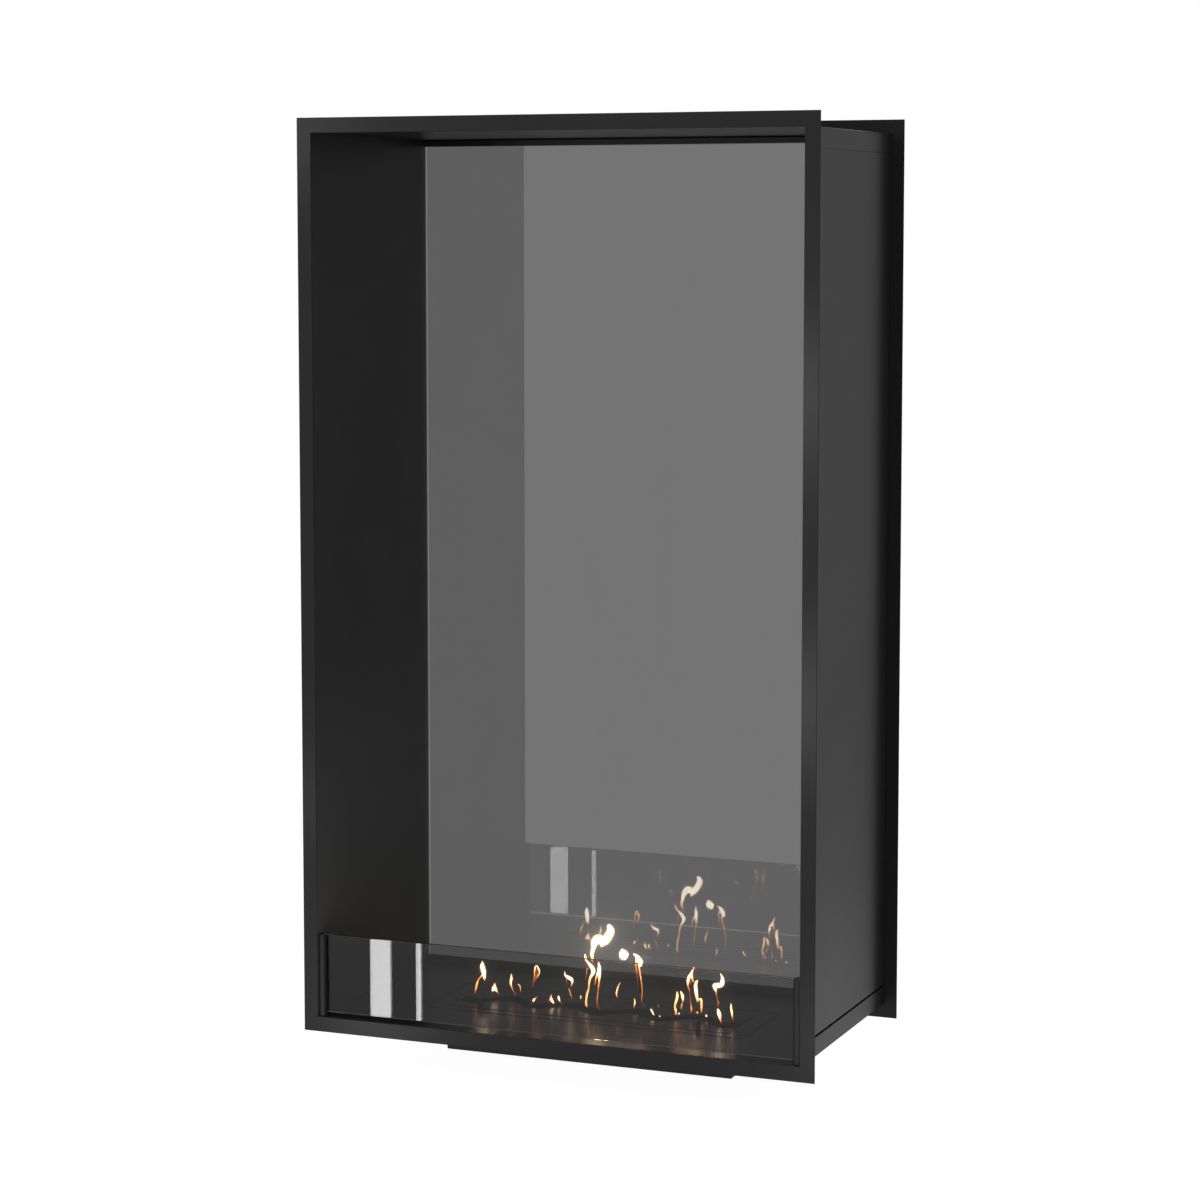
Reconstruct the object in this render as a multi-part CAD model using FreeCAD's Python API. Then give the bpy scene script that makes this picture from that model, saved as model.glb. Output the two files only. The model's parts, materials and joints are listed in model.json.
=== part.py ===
import FreeCAD, Part
import math
import os

from FreeCAD import Vector

# Double-sided built-in fireplace, in millimetres. +Z is up, the front looks along -Y, X and Y are
# measured from the middle of the shell and Z from the underside of the burner housing.

# Flange frames round the two openings
frame_width = 710.0
frame_height = 1200.0
overall_depth = 354.0
frame_face = 20.0
frame_plate = 2.0
frame_edge = 0.4
frame_rebate = 0.5
lip_depth = 9.0

# Double sheet walls of the shell
liner_sheet = 1.0
skin_sheet = 1.0
sheet_bend = 1.0
tray_rise = 26.0
cap_drop = 26.0
tray_gap = 1.2
cap_gap = 0.4
seam_gap = 0.4

# Full-height glass in the rear opening
rear_pane_thickness = 5.0
rear_pane_set_back = 9.0
rear_pane_side_gap = 1.0
rear_rail_width = 13.0
rear_rail_height = 9.0
rear_pane_end_gap = 4.0
rear_seal_height = 6.0
rear_block_length = 30.0
rear_block_places_share = (-0.36, 0.36)

# Low lift-out glass in the front opening
low_pane_thickness = 5.0
low_pane_set_back = 9.0
low_pane_height = 104.0
low_pane_floor_gap = 5.0
low_pane_side_gap = 4.0
holder_width = 15.0
holder_reach = 8.0
holder_seal_reach = 2.0
holder_seal_foot = 3.0
low_pane_play = 0.3

# Channels that hold the panes
channel_wall = 1.5
channel_bend = 0.5
glass_arris = 0.5

# Burner in the floor, round the window that the wavy plates lie in
burner_set_back = 174.0
fire_window_length = 399.0
fire_window_depth = 104.0
plate_play = 0.5
burner_sheet = 1.0
burner_play = 0.6
burner_corner = 2.0
rim_end = 22.0
rim_side = 16.0
housing_drop = 40.0
housing_wall = 1.0
housing_corner = 2.0
housing_play = 1.0
deck_end = 2.5
deck_side = 1.0

# Wavy slot and the plates on each side of it
wave_period = 90.0
wave_height = 12.5
slot_width = 16.0
closed_slot = 0.6
points_per_wave = 8
mouth_end_inset = 3.5
mouth_side_margin = 1.5
mouth_corner = 6.0

# Knobs that push the front wavy plate
knob_end_inset = 44.5
knob_set_back = 4.5
knob_radius = 3.5
knob_height = 13.0
knob_bevel = 0.8
knob_neck_radius = 2.9
knob_neck_height = 2.0
screw_radius = 2.0
screw_depth = 8.0
screw_play = 0.3
thread_play = 0.05
screw_head_radius = 3.5
screw_head_height = 2.4
washer_radius = 4.5
washer_thickness = 1.0
washer_play = 0.2

# Fuel tank, its filling and the mat it stands on
tank_wall = 1.0
tank_side_gap = 3.0
tank_end_gap = 2.0
tank_neck_height = 8.0
tank_shoulder_height = 10.0
mat_thickness = 4.0
fibre_height = 24.0
fibre_gap = 1.0

# How far a cutting tool runs past what it cuts
overrun = 5.0
# Two places closer than this are the same
same = 1e-6

# Places that follow from the sizes
frame_bottom = housing_drop
frame_top = frame_bottom + frame_height
half_depth = overall_depth / 2
tray_half_depth = half_depth - frame_plate
shell_half_depth = tray_half_depth + frame_rebate
opening_half = frame_width / 2 - frame_face
opening_low = frame_bottom + frame_face
opening_high = frame_top - frame_face
liner_out = opening_half + liner_sheet
skin_out = liner_out + skin_sheet
shell_low = opening_low - liner_sheet - skin_sheet
shell_high = opening_high + liner_sheet + skin_sheet
side_low = shell_low + tray_rise + tray_gap
side_high = shell_high - cap_drop - cap_gap
burner_y = burner_set_back - half_depth
housing_length = fire_window_length + 2 * (deck_end + housing_wall)
housing_depth = fire_window_depth + 2 * (deck_side + housing_wall)
burner_length = housing_length + 2 * rim_end
burner_depth = housing_depth + 2 * rim_side
mouth_length = fire_window_length - 2 * mouth_end_inset
mouth_depth = 2 * (wave_height + mouth_side_margin) + slot_width
deck_top = opening_low - burner_sheet
deck_bottom = deck_top - burner_sheet
plate_half_length = fire_window_length / 2 - plate_play
plate_half_depth = fire_window_depth / 2 - plate_play
damper_travel = slot_width - closed_slot
knob_x = fire_window_length / 2 - knob_end_inset
knob_y = burner_y - plate_half_depth + knob_set_back
low_pane_y = low_pane_set_back + low_pane_thickness / 2 - half_depth
low_pane_low = opening_low + low_pane_floor_gap
rear_pane_y = half_depth - rear_pane_set_back + rear_pane_thickness / 2
holder_top = low_pane_low + low_pane_height
tank_low = housing_wall + mat_thickness


def about(middle, size):
    return middle - size / 2, middle + size / 2


def box(x, y, z):
    # Each argument is a pair of limits, in either order
    low = Vector(min(x), min(y), min(z))
    size = Vector(max(x), max(y), max(z)) - low
    return Part.makeBox(size.x, size.y, size.z, low)


def edges_along(shape, axis):
    others = [name for name in ("XLength", "YLength", "ZLength") if name[0] != axis]
    return [e for e in shape.Edges if all(getattr(e.BoundBox, name) < same for name in others)]


def upright_box(x, y, z, radius):
    # Box whose four upright edges are rounded
    block = box(x, y, z)
    return block.makeFillet(radius, edges_along(block, "Z"))


def outline(start, steps):
    # A step is the next point of a line, or the pair (point on the way, end) of an arc
    edges = []
    here = start
    for step in steps:
        if isinstance(step, tuple):
            edges.append(Part.Arc(here, step[0], step[1]).toShape())
            here = step[1]
        else:
            edges.append(Part.LineSegment(here, step).toShape())
            here = step
    return Part.Wire(edges)


def channel(web_middle, across, up, run, width, height, wall, bend):
    # Folded channel: web_middle lies on the outside of its web, and run is its whole length
    half = width / 2
    outer = bend + wall
    diagonal = math.sqrt(0.5)

    def spot(a, b):
        return web_middle + across * a + up * b

    def corner(side, radius):
        # Middle of the arc round the fold
        reach = outer - radius * diagonal
        return spot(side * (half - reach), reach)

    section = outline(spot(-half, height), [
        spot(-half, outer),
        (corner(-1, outer), spot(outer - half, 0)),
        spot(half - outer, 0),
        (corner(1, outer), spot(half, outer)),
        spot(half, height),
        spot(half - wall, height),
        spot(half - wall, outer),
        (corner(1, bend), spot(half - outer, wall)),
        spot(outer - half, wall),
        (corner(-1, bend), spot(wall - half, outer)),
        spot(wall - half, height),
        spot(-half, height),
    ])
    return Part.Face(section).extrude(run)


def frame(side):
    # Flange plate with a rebate that the end of the shell sits in, side -1 in front and 1 behind
    face_y = side * half_depth
    back_y = side * tray_half_depth
    past = (face_y + side * overrun, back_y - side * overrun)
    plate = box(about(0, frame_width), (face_y, back_y), (frame_bottom, frame_top))
    opening = box(about(0, 2 * opening_half), past, (opening_low, opening_high))
    rebate = box(about(0, 2 * skin_out), (side * shell_half_depth, past[1]), (shell_low, shell_high))
    plate = plate.cut([opening, rebate])
    face_edges = [e for e in plate.Edges
                  if abs(e.BoundBox.YMin - face_y) < same and abs(e.BoundBox.YMax - face_y) < same]
    return plate.makeChamfer(frame_edge, face_edges)


def front_frame():
    return frame(-1)


def rear_frame():
    return frame(1)


def frame_lips(side):
    # Strips that carry on the line of the side panels up to the frame
    start = side * shell_half_depth
    end = side * (half_depth - lip_depth)
    return Part.makeCompound([
        box((wall * liner_out, wall * skin_out), (start, end), (side_low, side_high))
        for wall in (-1, 1)])


def front_frame_lips():
    return frame_lips(-1)


def rear_frame_lips():
    return frame_lips(1)


def floor_panel():
    sheet = box(about(0, 2 * opening_half), about(0, 2 * shell_half_depth),
                (opening_low - liner_sheet, opening_low))
    window = upright_box(about(0, burner_length + 2 * burner_play),
                         about(burner_y, burner_depth + 2 * burner_play),
                         (opening_low - liner_sheet - overrun, opening_low + overrun),
                         burner_corner + burner_play)
    return sheet.cut(window)


def ceiling_panel():
    return box(about(0, 2 * opening_half), about(0, 2 * shell_half_depth),
               (opening_high, opening_high + liner_sheet))


def liner(side):
    return box((side * opening_half, side * liner_out), about(0, 2 * shell_half_depth),
               (opening_low, opening_high))


def left_liner():
    return liner(-1)


def right_liner():
    return liner(1)


def folded_cover(half_length, height, z, up):
    # Sheet across the shell with its two sides turned over
    return channel(Vector(0, -half_length, z), Vector(1, 0, 0), Vector(0, 0, up),
                   Vector(0, 2 * half_length, 0), 2 * skin_out, height, skin_sheet, sheet_bend)


def bottom_tray():
    # The tray stops at the frames' backs, so that its underside lies flat on a sill between them
    tray = folded_cover(tray_half_depth, tray_rise, shell_low, 1)
    hole = upright_box(about(0, housing_length + 2 * housing_play),
                       about(burner_y, housing_depth + 2 * housing_play),
                       (shell_low - overrun, shell_low + skin_sheet + overrun),
                       housing_corner + housing_play)
    return tray.cut(hole)


def top_cap():
    return folded_cover(shell_half_depth, cap_drop, shell_high, -1)


def side_panel(side):
    length = 2 * (half_depth - lip_depth - seam_gap)
    return box((side * liner_out, side * skin_out), about(0, length), (side_low, side_high))


def left_side_panel():
    return side_panel(-1)


def right_side_panel():
    return side_panel(1)


def pane(x, y, z):
    # Flat glass with its long edges ground off
    glass = box(x, y, z)
    arrises = edges_along(glass, "X") + edges_along(glass, "Z")
    return glass.makeChamfer(glass_arris, arrises)


def rear_glass():
    return pane(about(0, 2 * (opening_half - rear_pane_side_gap)), about(rear_pane_y, rear_pane_thickness),
                (opening_low + rear_pane_end_gap, opening_high - rear_pane_end_gap))


def rear_rail(z, up):
    return channel(Vector(-opening_half, rear_pane_y, z), Vector(0, 1, 0), Vector(0, 0, up),
                   Vector(2 * opening_half, 0, 0), rear_rail_width, rear_rail_height,
                   channel_wall, channel_bend)


def rear_top_rail():
    return rear_rail(opening_high, -1)


def rear_bottom_rail():
    return rear_rail(opening_low, 1)


def rear_seals(z, up):
    # One strip on each face of the pane, flush with the mouth of its rail
    glass_face = rear_pane_thickness / 2
    rail_face = rear_rail_width / 2 - channel_wall
    mouth = z + up * rear_rail_height
    strips = [box(about(0, 2 * opening_half),
                  (rear_pane_y + side * glass_face, rear_pane_y + side * rail_face),
                  (mouth, mouth - up * rear_seal_height)) for side in (-1, 1)]
    return Part.makeCompound(strips)


def rear_top_seals():
    return rear_seals(opening_high, -1)


def rear_bottom_seals():
    return rear_seals(opening_low, 1)


def rear_glass_blocks():
    # Setting blocks between the rail's web and the pane
    return Part.makeCompound([
        box(about(share * 2 * opening_half, rear_block_length), about(rear_pane_y, rear_pane_thickness),
            (opening_low + channel_wall, opening_low + rear_pane_end_gap))
        for share in rear_block_places_share])


def low_glass():
    return pane(about(0, 2 * (opening_half - low_pane_side_gap)), about(low_pane_y, low_pane_thickness),
                (low_pane_low, low_pane_low + low_pane_height))


def glass_holder(side):
    return channel(Vector(side * opening_half, low_pane_y, opening_low), Vector(0, 1, 0),
                   Vector(-side, 0, 0), Vector(0, 0, holder_top - opening_low),
                   holder_width, holder_reach, channel_wall, channel_bend)


def left_glass_holder():
    return glass_holder(-1)


def right_glass_holder():
    return glass_holder(1)


def holder_seals(side):
    # Strips that reach past the channel's mouth and leave the pane free to lift
    pane_face = low_pane_thickness / 2 + low_pane_play
    holder_face = holder_width / 2 - channel_wall
    foot = opening_half - holder_seal_foot
    tip = opening_half - holder_reach - holder_seal_reach
    strips = [box((side * foot, side * tip),
                  (low_pane_y + face * pane_face, low_pane_y + face * holder_face),
                  (opening_low, holder_top)) for face in (-1, 1)]
    return Part.makeCompound(strips)


def left_holder_seals():
    return holder_seals(-1)


def right_holder_seals():
    return holder_seals(1)


def low_glass_rests():
    # Stops at the foot of the two channels
    web = opening_half - channel_wall - channel_bend
    mouth = opening_half - holder_reach
    return Part.makeCompound([
        box((side * web, side * mouth), about(low_pane_y, low_pane_thickness),
            (opening_low, low_pane_low)) for side in (-1, 1)])


def burner_flange():
    z = (deck_top, opening_low)
    rim = upright_box(about(0, burner_length), about(burner_y, burner_depth), z, burner_corner)
    window = box(about(0, fire_window_length), about(burner_y, fire_window_depth),
                 (deck_top - overrun, opening_low + overrun))
    return rim.cut(window)


def tub(x, y, z, corner):
    # Open box with rounded upright corners and a rounded foot
    block = upright_box(x, y, (z[0], z[1] + overrun), corner)
    foot = [e for e in block.Edges if e.BoundBox.ZMax - z[0] < same]
    block = block.makeFillet(corner, foot)
    lid = box((min(x) - overrun, max(x) + overrun), (min(y) - overrun, max(y) + overrun),
              (z[1], z[1] + 2 * overrun))
    return block.cut(lid)


def burner_housing():
    outside = tub(about(0, housing_length), about(burner_y, housing_depth), (0, deck_top), housing_corner)
    inside = tub(about(0, housing_length - 2 * housing_wall),
                 about(burner_y, housing_depth - 2 * housing_wall),
                 (housing_wall, deck_top + overrun), housing_corner - housing_wall)
    return outside.cut(inside)


def knob_places():
    return [Vector(side * knob_x, knob_y, 0) for side in (-1, 1)]


def burner_deck():
    z = (deck_bottom, deck_top)
    through = (deck_bottom - overrun, deck_top + overrun)
    deck = upright_box(about(0, housing_length - 2 * housing_wall),
                       about(burner_y, housing_depth - 2 * housing_wall), z,
                       housing_corner - housing_wall)
    mouth = upright_box(about(0, mouth_length), about(burner_y, mouth_depth), through, mouth_corner)
    deck = deck.cut(mouth)
    slot_radius = screw_radius + screw_play
    for place in knob_places():
        # A slot as long as the front plate's travel, with round ends
        ends = [Part.makeCylinder(slot_radius, through[1] - through[0],
                                  Vector(place.x, y, through[0]))
                for y in (place.y, place.y + damper_travel)]
        middle = box(about(place.x, 2 * slot_radius), (place.y, place.y + damper_travel), through)
        deck = deck.cut(ends[0].fuse([middle, ends[1]]))
    return deck


def wave(offset):
    # Wavy line along the slot, offset from its middle, from left to right
    count = round(2 * plate_half_length / wave_period * points_per_wave)
    points = []
    for i in range(count + 1):
        x = plate_half_length * (2 * i / count - 1)
        y = burner_y + offset - wave_height * math.cos(2 * math.pi * x / wave_period)
        points.append(Vector(x, y, deck_top))
    curve = Part.BSplineCurve()
    curve.interpolate(points)
    return curve.toShape(), points[0], points[-1]


def wave_plate(side):
    # side is -1 in front of the slot and 1 behind it
    edge, left, right = wave(side * slot_width / 2)
    back_y = burner_y + side * plate_half_depth
    far_right = Vector(right.x, back_y, deck_top)
    far_left = Vector(left.x, back_y, deck_top)
    straight = [Part.LineSegment(a, b).toShape()
                for a, b in ((right, far_right), (far_right, far_left), (far_left, left))]
    return Part.Face(Part.Wire([edge] + straight)).extrude(Vector(0, 0, burner_sheet))


def rear_wave_plate():
    return wave_plate(1)


def front_wave_plate():
    plate = wave_plate(-1)
    for place in knob_places():
        hole = Part.makeCylinder(screw_radius + thread_play, burner_sheet + 2 * overrun,
                                 Vector(place.x, place.y, deck_top - overrun))
        plate = plate.cut(hole)
    return plate


def knob(place):
    # Turned knob: a neck, a plain barrel and a bevelled top, drilled from below for its screw
    low = opening_low
    high = low + knob_height
    neck = low + knob_neck_height
    shoulder = neck + (knob_radius - knob_neck_radius)

    def spot(radius, z):
        return Vector(place.x + radius, place.y, z)

    bore = screw_radius + thread_play
    drilled = low + screw_depth
    profile = outline(spot(bore, low), [
        spot(knob_neck_radius, low),
        spot(knob_neck_radius, neck),
        spot(knob_radius, shoulder),
        spot(knob_radius, high - knob_bevel),
        spot(knob_radius - knob_bevel, high),
        spot(0, high),
        spot(0, drilled),
        spot(bore, drilled),
        spot(bore, low),
    ])
    return Part.Face(profile).revolve(Vector(place.x, place.y, 0), Vector(0, 0, 1), 360)


def left_knob():
    return knob(knob_places()[0])


def right_knob():
    return knob(knob_places()[1])


def knob_washers():
    top = deck_bottom - washer_play
    washers = []
    for place in knob_places():
        low = Vector(place.x, place.y, top - washer_thickness)
        disc = Part.makeCylinder(washer_radius, washer_thickness, low)
        hole = Part.makeCylinder(screw_radius + thread_play, washer_thickness + 2 * overrun,
                                 low - Vector(0, 0, overrun))
        washers.append(disc.cut(hole))
    return Part.makeCompound(washers)


def knob_screws():
    head_top = deck_bottom - washer_play - washer_thickness
    tip = opening_low + screw_depth - screw_play
    screws = []
    for place in knob_places():
        head = Part.makeCylinder(screw_head_radius, screw_head_height,
                                 Vector(place.x, place.y, head_top - screw_head_height))
        shank = Part.makeCylinder(screw_radius, tip - head_top, Vector(place.x, place.y, head_top))
        screws.append(head.fuse(shank))
    return Part.makeCompound(screws)


def tank_section(x, wall):
    # Cross section of the necked tank, drawn in by the wall on every side but its open top
    neck = mouth_depth / 2 + tank_wall - wall
    side = housing_depth / 2 - housing_wall - tank_side_gap - wall
    neck_low = deck_bottom - tank_neck_height
    shoulder = neck_low - tank_shoulder_height
    high = deck_bottom + (overrun if wall else 0)
    low = tank_low + wall
    half = [(neck, high), (neck, neck_low), (side, shoulder), (side, low)]
    points = half + [(-y, z) for y, z in reversed(half)]
    corners = [Vector(x, burner_y + y, z) for y, z in points]
    return Part.Face(Part.makePolygon(corners + corners[:1]))


def fuel_tank():
    end = housing_length / 2 - housing_wall - tank_end_gap
    outside = tank_section(-end, 0).extrude(Vector(2 * end, 0, 0))
    inside_end = end - tank_wall
    inside = tank_section(-inside_end, tank_wall).extrude(Vector(2 * inside_end, 0, 0))
    return outside.cut(inside)


def ceramic_fibre():
    length = housing_length - 2 * (housing_wall + tank_end_gap + tank_wall + fibre_gap)
    depth = housing_depth - 2 * (housing_wall + tank_side_gap + tank_wall + fibre_gap)
    low = tank_low + tank_wall
    return box(about(0, length), about(burner_y, depth), (low, low + fibre_height))


def insulation_mat():
    inset = housing_wall + (housing_corner - housing_wall)
    return box(about(0, housing_length - 2 * inset), about(burner_y, housing_depth - 2 * inset),
               (housing_wall, tank_low))


pieces = [
    front_frame, rear_frame, front_frame_lips, rear_frame_lips,
    floor_panel, ceiling_panel, left_liner, right_liner, bottom_tray, top_cap, left_side_panel, right_side_panel,
    rear_glass, rear_top_rail, rear_bottom_rail, rear_top_seals, rear_bottom_seals, rear_glass_blocks,
    low_glass, left_glass_holder, right_glass_holder, left_holder_seals, right_holder_seals,
    low_glass_rests, burner_flange, burner_housing, burner_deck, rear_wave_plate, front_wave_plate,
    left_knob, right_knob, knob_screws, knob_washers, fuel_tank, ceramic_fibre, insulation_mat,
]

os.makedirs("parts", exist_ok=True)
for piece in pieces:
    shape = piece()
    shape.exportStep(f"parts/{piece.__name__}.step")
    print(piece.__name__, "valid" if shape.isValid() else "NOT VALID", len(shape.Solids),
          round(shape.Volume, 1))
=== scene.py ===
import bpy
import bmesh
import json
import math
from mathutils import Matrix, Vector, kdtree, noise


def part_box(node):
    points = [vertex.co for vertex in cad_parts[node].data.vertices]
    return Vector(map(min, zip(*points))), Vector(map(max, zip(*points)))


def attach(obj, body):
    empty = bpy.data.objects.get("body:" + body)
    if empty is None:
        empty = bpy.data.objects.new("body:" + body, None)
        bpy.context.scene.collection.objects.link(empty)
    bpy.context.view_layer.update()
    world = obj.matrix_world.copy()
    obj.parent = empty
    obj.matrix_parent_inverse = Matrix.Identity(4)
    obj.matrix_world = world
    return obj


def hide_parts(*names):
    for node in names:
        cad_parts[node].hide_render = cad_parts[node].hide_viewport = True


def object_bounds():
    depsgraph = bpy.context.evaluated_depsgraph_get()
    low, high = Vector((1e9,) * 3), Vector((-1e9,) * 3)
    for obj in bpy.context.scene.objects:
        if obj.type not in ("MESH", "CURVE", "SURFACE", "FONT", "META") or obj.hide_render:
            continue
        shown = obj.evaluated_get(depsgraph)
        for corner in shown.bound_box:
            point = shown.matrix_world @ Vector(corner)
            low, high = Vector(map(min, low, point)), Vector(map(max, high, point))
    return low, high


# Looks of a tall see-through fireplace: black sheet steel, smoked glass and a wavy ethanol burner, alight.
# Everything is in metres, with +Z up and the front looking along -Y.

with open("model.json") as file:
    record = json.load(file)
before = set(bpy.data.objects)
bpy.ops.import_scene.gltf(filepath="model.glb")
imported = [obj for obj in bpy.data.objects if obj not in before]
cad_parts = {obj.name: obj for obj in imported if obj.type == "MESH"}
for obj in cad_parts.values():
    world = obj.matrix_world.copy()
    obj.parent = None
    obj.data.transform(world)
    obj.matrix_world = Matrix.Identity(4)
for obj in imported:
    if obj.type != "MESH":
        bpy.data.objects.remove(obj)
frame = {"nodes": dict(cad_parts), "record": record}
cadLow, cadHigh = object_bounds()
nodes = frame["nodes"]
scene = bpy.context.scene
mm = 0.001
finishes = {}       # every material of the scene by its name


# Small helpers for shader trees

def addNode(tree, kind, settings=None, **inputs):
    # Keyword names are socket names with their spaces left out
    node = tree.nodes.new(kind)
    for key, value in (settings or {}).items():
        setattr(node, key, value)
    for socket in node.inputs:
        key = socket.name.replace(" ", "")
        if key in inputs and socket.enabled:
            feed(tree, inputs.pop(key), socket)
    if inputs:
        raise KeyError(f"{kind} has no socket {list(inputs)}")
    return node


def feed(tree, value, socket):
    if isinstance(value, bpy.types.NodeSocket):
        tree.links.new(value, socket)
    elif isinstance(value, tuple) and len(value) == 3 and socket.type == "RGBA":
        socket.default_value = (*value, 1.0)
    else:
        socket.default_value = value


def mathNode(tree, operation, *values, clamp=False):
    node = addNode(tree, "ShaderNodeMath", {"operation": operation, "use_clamp": clamp})
    for value, socket in zip(values, node.inputs):
        feed(tree, value, socket)
    return node.outputs[0]


def mixColour(tree, factor, a, b):
    node = addNode(tree, "ShaderNodeMix", {"data_type": "RGBA"})
    for value, socket in ((factor, node.inputs[0]), (a, node.inputs[6]), (b, node.inputs[7])):
        feed(tree, value, socket)
    return node.outputs[2]


def stretch(tree, value, low, high, toLow=0.0, toHigh=1.0):
    # Maps low..high onto toLow..toHigh and holds the ends
    node = addNode(tree, "ShaderNodeMapRange", {"clamp": True}, Value=value)
    for number, socket in zip((low, high, toLow, toHigh), list(node.inputs)[1:5]):
        feed(tree, number, socket)
    return node.outputs[0]


def objectSpot(tree):
    return addNode(tree, "ShaderNodeTexCoord").outputs["Object"]


def splitAxes(tree, vector):
    return addNode(tree, "ShaderNodeSeparateXYZ", Vector=vector).outputs


def trueNormal(tree):
    return addNode(tree, "ShaderNodeNewGeometry").outputs["True Normal"]


def noiseOver(tree, spot, scale, detail, roughness=0.5, distortion=0.0):
    return addNode(tree, "ShaderNodeTexNoise", Vector=spot, Scale=scale, Detail=detail,
                   Roughness=roughness, Distortion=distortion).outputs["Fac"]


def colourRamp(tree, value, steps):
    # Each step is a place from 0 to 1 and the colour there
    node = addNode(tree, "ShaderNodeValToRGB", Fac=value)
    band = node.color_ramp
    while len(band.elements) < len(steps):
        band.elements.new(0.5)
    for element, (place, colour) in zip(band.elements, steps):
        element.position, element.color = place, (*colour, 1.0)
    return node.outputs[0]


def bumpFrom(tree, height, depth):
    return addNode(tree, "ShaderNodeBump", Strength=1.0, Distance=depth, Height=height).outputs[0]


def newGroup(name, inputs, outputs):
    tree = bpy.data.node_groups.new(name, "ShaderNodeTree")
    for label, value in inputs.items():
        socket = tree.interface.new_socket(label, in_out="INPUT", socket_type="NodeSocketFloat")
        socket.default_value = value
    for label in outputs:
        tree.interface.new_socket(label, in_out="OUTPUT", socket_type="NodeSocketFloat")
    return tree, tree.nodes.new("NodeGroupInput").outputs, tree.nodes.new("NodeGroupOutput").inputs


def useGroup(tree, group, **inputs):
    node = tree.nodes.new("ShaderNodeGroup")
    node.node_tree = group
    for socket in node.inputs:
        key = socket.name.replace(" ", "")
        if key in inputs:
            feed(tree, inputs[key], socket)
    return node.outputs


# Small helpers for meshes and pieces

def meshData(name, mesh):
    data = bpy.data.meshes.new(name)
    mesh.to_mesh(data)
    mesh.free()
    return data


def linkObject(name, data):
    thing = bpy.data.objects.new(name, data)
    scene.collection.objects.link(thing)
    return thing


def placeMesh(name, mesh, finish, body):
    # Turns built mesh code into a piece with a finish, riding on a body
    bmesh.ops.recalc_face_normals(mesh, faces=mesh.faces)
    data = meshData(name, mesh)
    piece = linkObject(name, data)
    data.materials.append(finishes[finish])
    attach(piece, body)
    return piece


def closeRings(mesh, rings):
    # Closed skin over a row of rings of points, with both ends capped
    for near, far in zip(rings, rings[1:]):
        for k in range(len(near)):
            after = (k + 1) % len(near)
            mesh.faces.new((near[k], near[after], far[after], far[k]))
    mesh.faces.new(list(reversed(rings[0])))
    mesh.faces.new(rings[-1])


# Where the burner's plates end and how the slot between them runs, for the soot and the fire
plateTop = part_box("rear_wave_plate")[1].z
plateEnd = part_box("rear_wave_plate")[1].x
plateSpan = (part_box("front_wave_plate")[0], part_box("rear_wave_plate")[1])
wave = {
    "period": 90 * mm,
    "height": 12.5 * mm,
    "middle": (plateSpan[0].y + plateSpan[1].y) / 2,
}
wave["gap"] = 2 * (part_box("rear_wave_plate")[0].y + wave["height"] - wave["middle"])


def slotLine(x):
    # Middle of the wavy slot at a place along it
    return wave["middle"] - wave["height"] * math.cos(2 * math.pi * x / wave["period"])


# Effects that several finishes share
# In their dictionaries a pair of numbers is where a value starts to show and where it is full

grainLook = {
    "speckleShare": 0.35,               # how far the speckle lifts the coat, against the orange peel
    "speckle": (0.35, 0.68),
    "patch": (0.32, 0.68),
}


def makeCoatGrain():
    # Orange peel and fine speckle of sprayed or powdered paint, with slow patches of more and less gloss
    tree, given, out = newGroup(
        "coatGrain",
        {"Peel Scale": 700.0, "Speckle Scale": 2600.0, "Patch Scale": 6.0},
        ("Height", "Speckle", "Patch"))
    spot = objectSpot(tree)
    peel = noiseOver(tree, spot, given["Peel Scale"], 2.0, 0.55)
    speckle = noiseOver(tree, spot, given["Speckle Scale"], 1.0, 0.6)
    patch = noiseOver(tree, spot, given["Patch Scale"], 4.0, 0.6, 0.4)
    lifted = mathNode(tree, "MULTIPLY", speckle, grainLook["speckleShare"])
    feed(tree, mathNode(tree, "ADD", peel, lifted), out["Height"])
    feed(tree, stretch(tree, speckle, *grainLook["speckle"]), out["Speckle"])
    feed(tree, stretch(tree, patch, *grainLook["patch"]), out["Patch"])
    return tree


edgeLook = {
    "samples": 4,
    "lean": (0.985, 0.86),              # how far the rounded normal leans off the true one
    "breakup": (0.35, 0.62),
}


def makeEdgeWearAndSheen():
    # Edges rounded by the coat, and the thin lighter line that follows them: worn paint and a painted
    # highlight
    tree, given, out = newGroup(
        "edgeWearAndSheen",
        {"Radius": 0.0004, "Amount": 0.5, "Breakup Scale": 60.0},
        ("Mask",))
    soft = addNode(tree, "ShaderNodeBevel", {"samples": edgeLook["samples"]}, Radius=given["Radius"])
    along = addNode(tree, "ShaderNodeVectorMath", {"operation": "DOT_PRODUCT"})
    feed(tree, soft.outputs[0], along.inputs[0])
    feed(tree, trueNormal(tree), along.inputs[1])
    breakup = noiseOver(tree, objectSpot(tree), given["Breakup Scale"], 5.0, 0.7)
    edge = stretch(tree, along.outputs["Value"], *edgeLook["lean"])
    worn = mathNode(tree, "MULTIPLY", edge, stretch(tree, breakup, *edgeLook["breakup"]))
    feed(tree, mathNode(tree, "MULTIPLY", worn, given["Amount"], clamp=True), out["Mask"])
    return tree


dustLook = {
    "drift": (0.3, 0.75),
    "fleck": (0.35, 0.75, 0.35, 1.0),   # the last two are the cover between the flecks and on them
    "facing": (0.2, 1.0, 0.18, 1.0),    # from a steep face to a flat one, and the cover on each
}


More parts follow.
